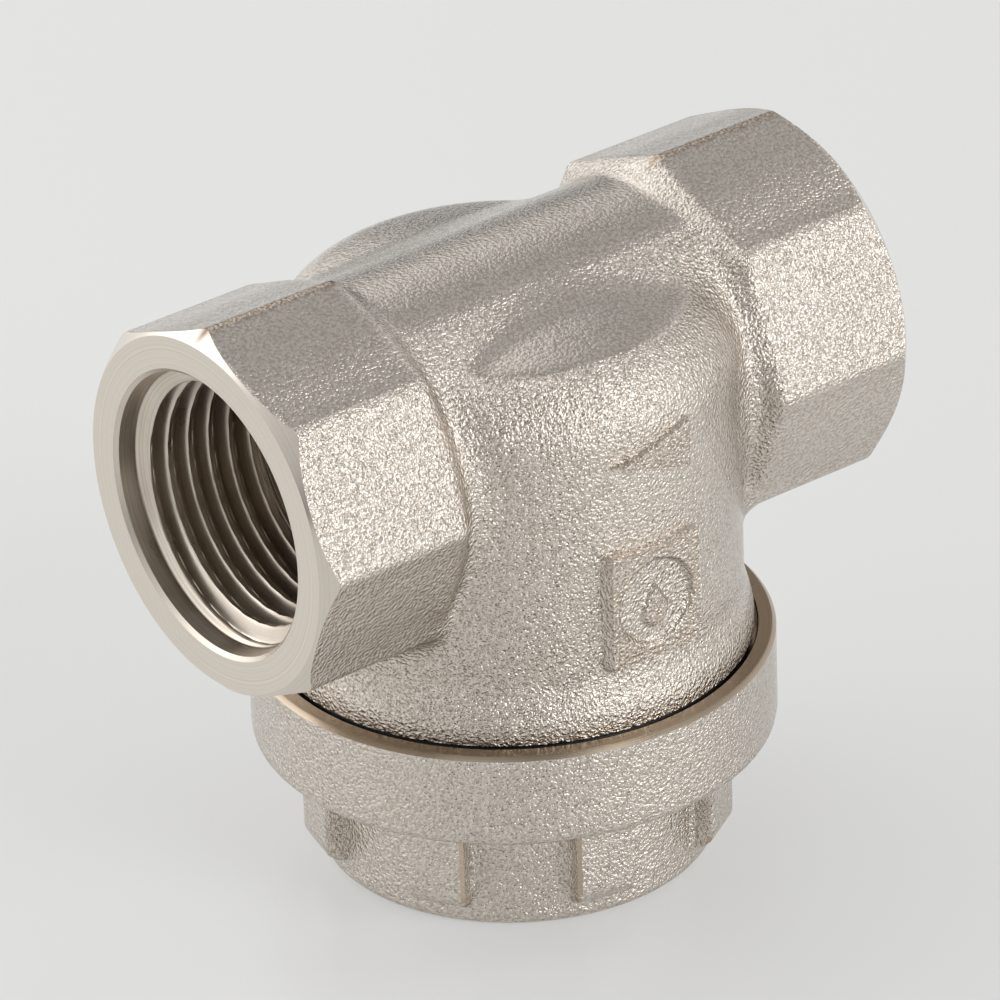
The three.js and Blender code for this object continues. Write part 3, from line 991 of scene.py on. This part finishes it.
    def chamber_cut(self) -> Piece:
        """The bores made from below: chamber, gasket recess and the throat above the seat."""
        end, wide, turn = self.spigot_end, self.wall_bore + self.bore_chamfer, self.roof_round
        low, high = self.bore_chamfer_rise
        profile = [[0, end - 1], [wide, end - 1], [wide, end + low], [self.wall_bore, end + high],
                   [self.wall_bore, self.seat_z], [self.gasket_recess, self.seat_z],
                   [self.gasket_recess, self.gasket_top], [self.seat_bore, self.gasket_top],
                   [self.seat_bore, self.roof_z - turn]]
        profile += arc((self.seat_bore - turn, self.roof_z - turn), turn, 15, 90) + [[0, self.roof_z]]
        return turned("chamber_cut", profile, 128)

    def port_cut(self, along: Along, start: float, fineness: int) -> Piece:
        """One port's bore from the inside out: smooth bore, thread, lead-in and mouth chamfer.

        Args:
            along: the port's axis.
            start: distance from the strainer's middle at which the bore begins.
            fineness: grid rows for each pitch of the thread.

        Returns:
            The closed shape that cuts the port.
        """
        thread, mouth, chamfer = self.port, self.half_length, self.mouth_chamfer
        narrow, wide, thread_start = self.run_out
        heights = np.concatenate([
            [start, narrow, thread_start], thread.rows(fineness), mouth + np.array(self.mouth_rows)])

        def radius(theta: Array, height: Array) -> Array:
            """Bore radius by height: a cone up to the thread's root, its teeth, then the mouth."""
            base = self.bore + (thread.outer - self.bore) * ramp(height, narrow, wide)
            tooth = (thread.outer - thread.inner) * thread.height(theta, height)
            into = np.clip((height - mouth + self.lead_in_start) / self.lead_in_length, 0, 1)
            return base - tooth + self.lead_in * into + np.clip(height - mouth + chamfer, 0, chamfer)

        return radial("port_cut", radius, heights, 112, along)

    def outlet_cut(self) -> Piece:
        """The outlet port with the pocket that rises behind the seat wall, less that wall itself."""
        cut = self.port_cut(Along.OUTLET, 4.0, 30)
        pocket = turned("pocket", [[0, self.seat_z - 1], [self.wall_bore, self.seat_z - 1],
                                   [self.wall_bore, self.roof_z], [0, self.roof_z]], 128)
        corners = np.array(list(product(*self.pocket_box)))
        sides = np.array([[0, 1, 3, 2], [4, 6, 7, 5], [0, 4, 5, 1], [2, 3, 7, 6], [0, 2, 6, 4],
                          [1, 5, 7, 3]])
        combine(pocket, make_object("outlet_side", corners, sides), "INTERSECT")
        combine(cut, pocket, "UNION")
        low, high = self.seat_z - CLEAR, self.pocket_box[2][1]
        profile = [[0, low], [self.seat_wall, low], [self.seat_wall, high], [0, high]]
        return combine(cut, turned("seat_wall", profile, 128), "DIFFERENCE")

    def dress(self, obj: Piece) -> None:
        """Blasted plate outside, turned ends, and bright plate on the threads and bores.

        A face belongs to the skin of the forging where the forging's own field is about nought.
        Brass shows along the flash line on top of the ends and on the raised marks. Deep in the
        ports the tint is painted shade, darker and browner with depth into the bore. The flats and
        the dome that face upwards took the shot less.

        Args:
            obj: the finished body.
        """
        x, y, z = read(obj.data.polygons, "center") / MM
        pipe = np.hypot(y, z - PIPE_Z)
        cone = np.abs(pipe + np.abs(x) - self.face_radius - self.half_length) < 0.03
        ends = (np.abs(x) > self.half_length - NEAR) | (cone & (pipe > self.face_radius - NEAR))
        outside = (self.shape(x, y, z) > -SKIN) & (z >= self.foot_bottom - SKIN)
        dress(obj, [BLASTED, TURNED_END, THREADED], np.where(ends, 1, np.where(outside, 0, 2)))
        x, y, z = read(obj.data.vertices, "co") / MM
        root = 14.0 - np.hypot(y, z - PIPE_Z)
        flash = np.exp(-(y / self.flash_width) ** 2) * ramp(z, *self.flash_rise)
        raised = ramp(-y, self.marks.face - 0.3, self.marks.face - 0.05) * (np.abs(x) < 6) * (z > 20)
        depth = self.half_length - np.abs(x)
        # Painted shade: darker, browner tint deep in the ports' bores, carried by the tint attribute.
        inside = ramp(root, *self.port_painted_shade_root) * ramp(depth, *self.port_painted_shade_depth)
        note(obj, "tint", flash + self.marks_tint * raised + self.port_painted_shade * inside)
        level = ramp(read(obj.data.vertices, "normal")[2], *self.level)
        note(obj, "shot", 1 - self.spared * level)


# ---------------------------------------------------------------- cap


@dataclass
class CapForging:
    """The hot-forged screw cap: a round skirt on an eight-lugged grip, hollow and threaded inside."""

    skirt_radius: float = 19.5
    skirt_bottom: float = 9.5
    top: float = 17.0
    skirt_edge: float = 0.75
    rim_bevel: float = 0.3
    grip_radius: float = 14.8
    grip_edge: float = 0.7
    grip_fillet: float = 0.6
    lugs: int = 8
    first_lug: float = -149.8
    lug_radius: float = 16.35
    lug_half_width: float = 2.2
    lug_base: float = 1.8
    lug_toe: float = 1.55
    lug_edge: float = 0.3
    lug_root: float = 9.0
    lug_fillet: float = 0.35
    grip_into_skirt: float = 2.0
    floor: float = 2.5
    step_radius: float = 10.8
    step_top: float = 4.5
    well_radius: float = 12.2
    ledge: float = 11.3
    seat_radius: float = 18.1
    seat_bottom: float = 15.3
    mouth_chamfer: float = 0.1
    thread: Thread = Thread(16.25, 17.15, 1.5, 11.4, 15.25, offset=11.6)
    allowance: float = 0.7
    cell: float = 0.4
    grid_margin: float = 1.1
    grid_above: float = 1.9
    rim_tint: float = 0.45

    def shape(self, x: Array, y: Array, z: Array) -> Array:
        """The rough forging, which runs past its machined rim by an allowance.

        Args:
            x: places along the pipe.
            y: places across it.
            z: heights.

        Returns:
            Signed distance, negative inside.
        """
        radius = np.hypot(x, y)
        skirt = round_meet(radius - self.skirt_radius, self.skirt_bottom - z, self.skirt_edge)
        skirt = np.maximum(skirt, z - self.top - self.allowance)
        buried = z - self.top + self.grip_into_skirt
        grip = np.maximum(round_meet(radius - self.grip_radius, -z, self.grip_edge), buried)
        step = TURN / self.lugs
        angle = np.arctan2(y, x) - math.radians(self.first_lug)
        angle = angle - step * np.round(angle / step)
        toe = round_meet(radius * np.cos(angle) - self.lug_radius, self.lug_base - z, self.lug_toe)
        side = np.abs(radius * np.sin(angle)) - self.lug_half_width
        lug = np.maximum(round_meet(toe, side, self.lug_edge), buried)
        lug = np.maximum(lug, self.lug_root - radius)
        return round_union(round_union(grip, lug, self.lug_fillet), skirt, self.grip_fillet)

    def build(self) -> None:
        """Makes the cap, dresses it and sets it in the frame."""
        cap = self.forge()
        self.dress(cap)
        fit(cap, "cap", "screw_cap")

    def forge(self) -> Piece:
        """Forges the outside, faces the rim, and bores and threads the inside."""
        side = self.skirt_radius + self.grid_margin
        cap = contour("cap_forging", self.shape, np.array([-side, -side, -self.grid_margin]),
                      np.array([side, side, self.top + self.grid_above]), self.cell)
        bevel, edge = self.rim_bevel, self.skirt_radius
        envelope = [[0, -CLEAR], [edge + CLEAR, -CLEAR], [edge + CLEAR, self.top - bevel - CLEAR],
                    [edge - bevel, self.top], [0, self.top]]
        combine(cap, turned("rim_facing", envelope, 192), "INTERSECT")
        combine(cap, self.hollow(), "DIFFERENCE")
        shade(cap, 32.0)
        return cap

    def hollow(self) -> Piece:
        """The inside: stepped well, ledge, female thread and the counterbore for the seal ring."""
        thread, chamfer = self.thread, self.mouth_chamfer
        near, nearer = 0.02, 0.01
        heights = np.concatenate([
            [self.floor, self.step_top - nearer, self.step_top + nearer, self.ledge - nearer,
             self.ledge + nearer], thread.rows(),
            [self.seat_bottom - near, self.seat_bottom + near, self.top - chamfer, self.top,
             self.top + 1.0]])

        def radius(theta: Array, height: Array) -> Array:
            """Radius of the hollow by height; the thread's teeth stand inwards."""
            tooth = (thread.outer - thread.inner) * thread.height(theta, height)
            base = np.select(
                [height < self.step_top, height < self.ledge, height < self.seat_bottom],
                [self.step_radius, self.well_radius, thread.outer - tooth], self.seat_radius)
            return base + np.clip(height - self.top + chamfer, 0, chamfer)

        return radial("cap_hollow", radius, heights, 160)

    def dress(self, obj: Piece) -> None:
        """Blasted plate outside, turned plate inside, and brass showing on the rim.

        Args:
            obj: the finished cap.
        """
        x, y, z = read(obj.data.polygons, "center") / MM
        outside = (self.shape(x, y, z) > -SKIN) & (z < self.top - self.rim_bevel - NEAR)
        dress(obj, [BLASTED, TURNED_CAP], np.where(outside, 0, 1))
        x, y, z = read(obj.data.vertices, "co") / MM
        rim = ramp(z, self.top - 0.4, self.top - 0.05) * (np.hypot(x, y) < self.skirt_radius - 0.1)
        note(obj, "tint", self.rim_tint * rim)
        note(obj, "shot", np.ones(len(x)))


# ---------------------------------------------------------------- seals


@dataclass
class Seals:
    """The rubber ring that seals the cap and the PTFE ring that the screen presses on its seat."""

    ring_radius: float = 16.85
    ring_height: float = 16.25
    ring_section: float = 0.72
    gasket_edge: float = 0.12
    gasket_inner: float = 9.0
    gasket_outer: float = 10.7
    gasket_bottom: float = 25.1
    gasket_top: float = 25.9

    def build(self) -> None:
        """Makes both seals, dresses them and sets them in the frame."""
        for piece, finish, slot, node in (
            (self.ring(), RUBBER, "seal_rubber", "cap_seal_ring"),
            (self.gasket(), PTFE, "gasket_ptfe", "seat_gasket"),
        ):
            dress(piece, [finish])
            fit(piece, "body", node)

    def ring(self) -> Piece:
        """A torus."""
        profile = arc((self.ring_radius, self.ring_height), self.ring_section, 0, 345, 23)
        return turned("seal_ring", profile, 160)

    def gasket(self) -> Piece:
        """A flat ring with slightly rounded edges."""
        profile = round_box(self.gasket_inner, self.gasket_outer, self.gasket_bottom, self.gasket_top,
                            self.gasket_edge)
        return turned("gasket_ring", profile, 128)


# ---------------------------------------------------------------- screen


@dataclass
class Screen:
    """The strainer cartridge: a perforated tube in a wire gauze sleeve, with a collar on each end."""

    low: float = 3.7
    high: float = 23.9
    tube_inner: float = 8.7
    tube_outer: float = 9.1
    hole_radius: float = 0.95
    columns: int = 20
    rows: int = 7
    rim: float = 0.9
    gauze_radius: float = 9.5
    wire: float = 0.075
    uprights: int = 84
    hoops: int = 28
    collar_inner: float = 8.7
    collar_outer: float = 10.5
    collar_height: float = 3.0
    collar_wall: float = 0.55
    collar_edge: float = 0.15
    collar_bend: float = 0.5
    collar_corner: float = 0.2
    flange: float = 0.6
    lower_collar: float = 2.8
    upper_collar: float = 24.8

    def build(self) -> None:
        """Makes the cartridge's pieces, dresses them and sets them in the frame."""
        for piece, finish, slot, node in (
            (self.tube(), SHEET, "stainless_sheet", "screen_support"),
            (self.gauze(), WIRE, "stainless_mesh", "screen_mesh"),
            (self.collar("lower_collar", self.lower_collar, 1), SHEET, "stainless_sheet",
             "screen_lower_collar"),
            (self.collar("upper_collar", self.upper_collar, -1), SHEET, "stainless_sheet",
             "screen_upper_collar"),
        ):
            dress(piece, [finish])
            fit(piece, "screen", node)

    def tube(self) -> Piece:
        """A rolled tube with staggered rows of round holes.

        Each cell of the sheet is an oblong ring of four-sided faces between a round hole and the
        cell's border. The sheet is rolled by turning its width into an angle, and is made twice,
        outside and inside, with walls between them in the holes and along both rims.
        """
        width = TURN / self.columns
        height = (self.high - self.low - 2 * self.rim) / self.rows
        half, run = np.full(4, 0.5), np.arange(4) / 4 - 0.5
        border = np.concatenate([np.stack(pair, axis=1) for pair in (
            (half, run), (-run, half), (-half, -run), (run, -half))])
        sides = len(border)
        turn = np.arctan2(border[:, 1], border[:, 0])
        hole = np.stack([np.cos(turn) * self.hole_radius / (width * self.tube_outer),
                         np.sin(turn) * self.hole_radius / height], axis=1)
        template = np.vstack([border, hole])
        i, j = np.meshgrid(np.arange(self.columns), np.arange(self.rows), indexing="ij")
        centres = np.stack([i + 0.5 * (j % 2), j + 0.5], axis=-1).reshape(-1, 1, 2)
        flat = (centres + template).reshape(-1, 2)
        edge = np.arange(4 * self.columns) / 4
        rims = np.vstack([np.stack([edge, np.full(len(edge), v)], axis=1) for v in
                          (-self.rim / height, self.rows + self.rim / height, 0, self.rows)])
        ring = np.arange(sides)
        cell = np.stack([ring + sides, ring, np.roll(ring, -1), np.roll(ring, -1) + sides], axis=1)
        first = np.arange(len(centres))[:, None, None] * len(template)
        n = len(edge)
        band = np.arange(n).reshape(1, -1) + len(flat)
        strips = [quads(np.vstack([band, band + 2 * n]), wrap=True),
                  quads(np.vstack([band + 3 * n, band + n]), wrap=True)]
        skin = np.concatenate([(cell + first).reshape(-1, 4)] + strips)
        flat = np.vstack([flat, rims])
        shells = []
        for radius in (self.tube_outer, self.tube_inner):
            angle = flat[:, 0] * width
            shells.append(np.stack([radius * np.cos(angle), radius * np.sin(angle),
                                    self.low + self.rim + flat[:, 1] * height], axis=1))
        count = len(flat)
        lip = np.stack([ring + sides, np.roll(ring, -1) + sides], axis=1)
        lips = (lip + first).reshape(-1, 2)
        low_rim = np.stack([np.roll(band[0], -1), band[0]], axis=1)
        high_rim = low_rim[:, ::-1] + n
        loops = np.vstack([lips, low_rim, high_rim])
        walls = np.stack([loops[:, 0], loops[:, 1], loops[:, 1] + count, loops[:, 0] + count], axis=1)
        faces = np.concatenate([skin, skin[:, ::-1] + count, walls])
        points, faces = weld(np.vstack(shells), faces)
        return make_object("strainer_tube", points, faces)

    def gauze(self) -> Piece:
        """Plain-woven wire: uprights and hoops that pass over and under each other in turn.

        Upright i is at angle 2 pi i / n and its radius is r + w cos(pi (h + i)), where h counts
        the hoops; hoop j has radius r - w cos(pi (i + j)) at upright i, so one is always outside
        where the other is inside.
        """
        section = np.array([[1, 0], [0, 1], [-1, 0], [0, -1]], dtype=float) * self.wire
        low, high = self.low + self.wire, self.high - self.wire
        steps = np.linspace(-0.5, self.hoops - 0.5, 2 * self.hoops + 1)
        gap = (high - low) / self.hoops
        i = np.arange(self.uprights)
        angle = (i * TURN / self.uprights)[:, None, None]
        radius = self.gauze_radius + self.wire * np.cos(math.pi * (steps[None, :] + i[:, None]))
        height = low + (steps + 0.5) * gap
        r = radius[..., None] + section[:, 0]
        shift = section[:, 1]
        upright = np.stack([r * np.cos(angle) - shift * np.sin(angle),
                            r * np.sin(angle) + shift * np.cos(angle),
                            np.broadcast_to(height[None, :, None], r.shape)], axis=-1)
        grid = np.arange(upright[..., 0].size).reshape(upright.shape[:3])
        faces = [quads_between(grid)]
        caps = np.concatenate([grid[:, 0, ::-1], grid[:, -1, :]])
        j = np.arange(self.hoops)
        k = np.arange(2 * self.uprights)
        turn = (k * math.pi / self.uprights)[None, :, None]
        radius = self.gauze_radius - self.wire * np.cos(math.pi * (k[None, :] / 2 + j[:, None]))
        r = radius[..., None] + section[:, 0]
        level = (low + (j + 0.5) * gap)[:, None, None] + section[:, 1]
        hoop = np.stack([r * np.cos(turn), r * np.sin(turn), np.broadcast_to(level, r.shape)],
                        axis=-1)
        loops = np.arange(hoop[..., 0].size).reshape(hoop.shape[:3]) + grid.size
        loops = np.concatenate([loops, loops[:, :1]], axis=1)
        faces += [quads_between(loops)[:, ::-1], caps]
        points = np.vstack([upright.reshape(-1, 3), hoop.reshape(-1, 3)])
        return make_object("strainer_gauze", points, faces, smooth_angle=100.0)

    def collar(self, name: str, end: float, way: int) -> Piece:
        """A pressed ring: a flat flange across the screen's end and a short wall outside it.

        Args:
            name: the piece's name.
            end: height of the flange's outer face.
            way: 1 where the wall rises from the flange, -1 where it hangs from it.

        Returns:
            The closed ring.
        """
        inner, outer, wall = self.collar_inner, self.collar_outer, self.collar_wall
        lip, flange = self.collar_height, self.flange
        edge, bend, corner = self.collar_edge, self.collar_bend, self.collar_corner
        outline = arc((inner + edge, edge), edge, 180, 270, 3)
        outline += arc((outer - bend, bend), bend, 270, 360, 5)
        outline += arc((outer - edge, lip - edge), edge, 0, 90, 3)
        outline += arc((outer - wall + edge, lip - edge), edge, 90, 180, 3)
        outline += [[outer - wall, flange + corner], [outer - wall - corner, flange]]
        outline += [[inner + edge, flange], [inner, flange - edge]]
        profile = [[r, end + way * h] for r, h in outline]
        return turned(name, profile if way > 0 else profile[::-1], 128)


# ---------------------------------------------------------------- studio


@dataclass(frozen=True)
class Glow:
    """A patch of light on the studio's walls, as the metal sees it.

    It has its full strength within the angle whose cosine is core, and fades to nought at edge.
    """

    name: str
    direction: tuple
    edge: float
    core: float
    strength: float


@dataclass
class Studio:
    """The plain room, its table top and the camera."""

    azimuth: float = -37.369
    elevation: float = 28.731
    roll: float = -2.05
    lens: float = 284.6
    sensor: float = 36.0
    distance: float = 0.5774
    target: tuple = (-0.415, 0.317, 27.44)
    room: float = 0.045
    floor_colour: str = "#A3A3A2"
    floor_glow: float = 0.38
    floor_size: float = 3.0
    glows: tuple = (
        Glow("back_window", (-0.15, 0.84, 0.53), 0.6, 0.97, 1.4),
        Glow("left_wall", (-0.85, 0.0, 0.53), 0.6, 0.97, 0.6),
        Glow("left_back_screen", (-0.8, 0.58, 0.1), 0.6, 0.97, 0.7),
        Glow("front_screen", (0.31, -0.95, 0.1), 0.6, 1.0, 0.12),
        Glow("front_key", (0.46, -0.84, 0.24), 0.92, 0.95, 2.1),
        Glow("front_ceiling_lamp", (0.14, -0.79, 0.6), 0.965, 0.987, 4.0),
        Glow("front_low_lamp", (0.1, -0.99, 0.06), 0.975, 0.99, 2.5),
        Glow("ceiling", (0.1, -0.15, 0.98), 0.6, 1.0, 0.35),
        Glow("ceiling_lamp", (0.55, -0.24, 0.80), 0.98, 0.992, 2.4),
        Glow("right_screen", (0.99, 0.0, 0.1), 0.6, 0.97, 0.55),
        Glow("right_wall", (0.8, 0.29, 0.53), 0.6, 1.0, 0.25),
    )

    def build(self) -> None:
        """Sets up the floor, the room's light and the camera."""
        self.floor()
        self.room_light()
        self.camera()
        bpy.context.scene.view_settings.view_transform = "Standard"

    def floor(self) -> None:
        """A pale, slightly glossy table top under the strainer, lit a little from below."""
        side = self.floor_size / MM
        corners = np.array([[x * side, y * side, 0.0] for x, y in ((-1, -1), (1, -1), (1, 1), (-1, 1))])
        floor = make_object("table_top", corners, np.array([[0, 1, 2, 3]]))
        material, tree, place = blank("satin_table_top")
        cloud = add(tree, "ShaderNodeTexNoise", {"Vector": place, "Scale": per_mm(40.0), "Detail": 1.0})
        rough = add(tree, "ShaderNodeMapRange", {
            "Value": cloud.outputs["Fac"], "To Min": 0.28, "To Max": 0.34})
        shader(tree, {"Base Color": linear(self.floor_colour), "Roughness": rough.outputs["Result"],
                      "Specular IOR Level": 0.35, "Emission Color": linear("#FFFFFE"),
                      "Emission Strength": self.floor_glow})
        floor.data.materials.append(material)
        # The strainer's body stays on its pipe, so the table top goes down with the cap.
        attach(floor, "cap")

    def room_light(self) -> None:
        """Pale walls with a few broad soft glows, which the metal reflects."""
        world = bpy.data.worlds.new("studio_walls")
        world.use_nodes = True
        tree = world.node_tree
        tree.nodes.clear()
        place = add(tree, "ShaderNodeTexCoord").outputs["Generated"]
        total = None
        for glow in self.glows:
            length = math.sqrt(sum(part * part for part in glow.direction))
            towards = tuple(part / length for part in glow.direction)
            cosine = add(tree, "ShaderNodeVectorMath", {0: place, 1: towards}, operation="DOT_PRODUCT")
            patch = add(tree, "ShaderNodeMapRange", {
                "Value": cosine.outputs["Value"], "From Min": glow.edge, "From Max": glow.core,
                "To Min": 0.0, "To Max": glow.strength}, interpolation_type="SMOOTHSTEP")
            before = total.outputs[0] if total else self.room
            total = add(tree, "ShaderNodeMath", {0: patch.outputs["Result"], 1: before}, operation="ADD")
            total.label = glow.name
        background = add(tree, "ShaderNodeBackground", {
            "Color": (1.0, 1.0, 1.0, 1.0), "Strength": total.outputs[0]})
        add(tree, "ShaderNodeOutputWorld", {"Surface": background.outputs["Background"]})
        bpy.context.scene.world = world

    def camera(self) -> None:
        """A long lens looking down over the outlet, with a slight roll."""
        a, e, r = (math.radians(v) for v in (self.azimuth, self.elevation, self.roll))
        back = Vector((math.sin(a) * math.cos(e), -math.cos(a) * math.cos(e), math.sin(e)))
        side = Vector((math.cos(a), math.sin(a), 0.0))
        up = back.cross(side)
        right = side * math.cos(r) + up * math.sin(r)
        upper = up * math.cos(r) - side * math.sin(r)
        data = bpy.data.cameras.new("studio_camera")
        data.lens = self.lens
        data.sensor_width = self.sensor
        data.clip_start = 0.01
        camera = bpy.data.objects.new("studio_camera", data)
        turn = Matrix((right, upper, back)).transposed().to_4x4()
        camera.matrix_world = Matrix.Translation(Vector(self.target) * MM + back * self.distance) @ turn
        bpy.context.scene.collection.objects.link(camera)
        bpy.context.scene.camera = camera


# ---------------------------------------------------------------- assembly


def main() -> None:
    """Builds each sub-assembly in order, then the studio."""
    logging.basicConfig(level=logging.INFO, format="%(name)s: %(message)s")
    for part in (BodyCasting(), CapForging(), Seals(), Screen(), Studio()):
        part.build()


if __name__ == "__main__":
    main()
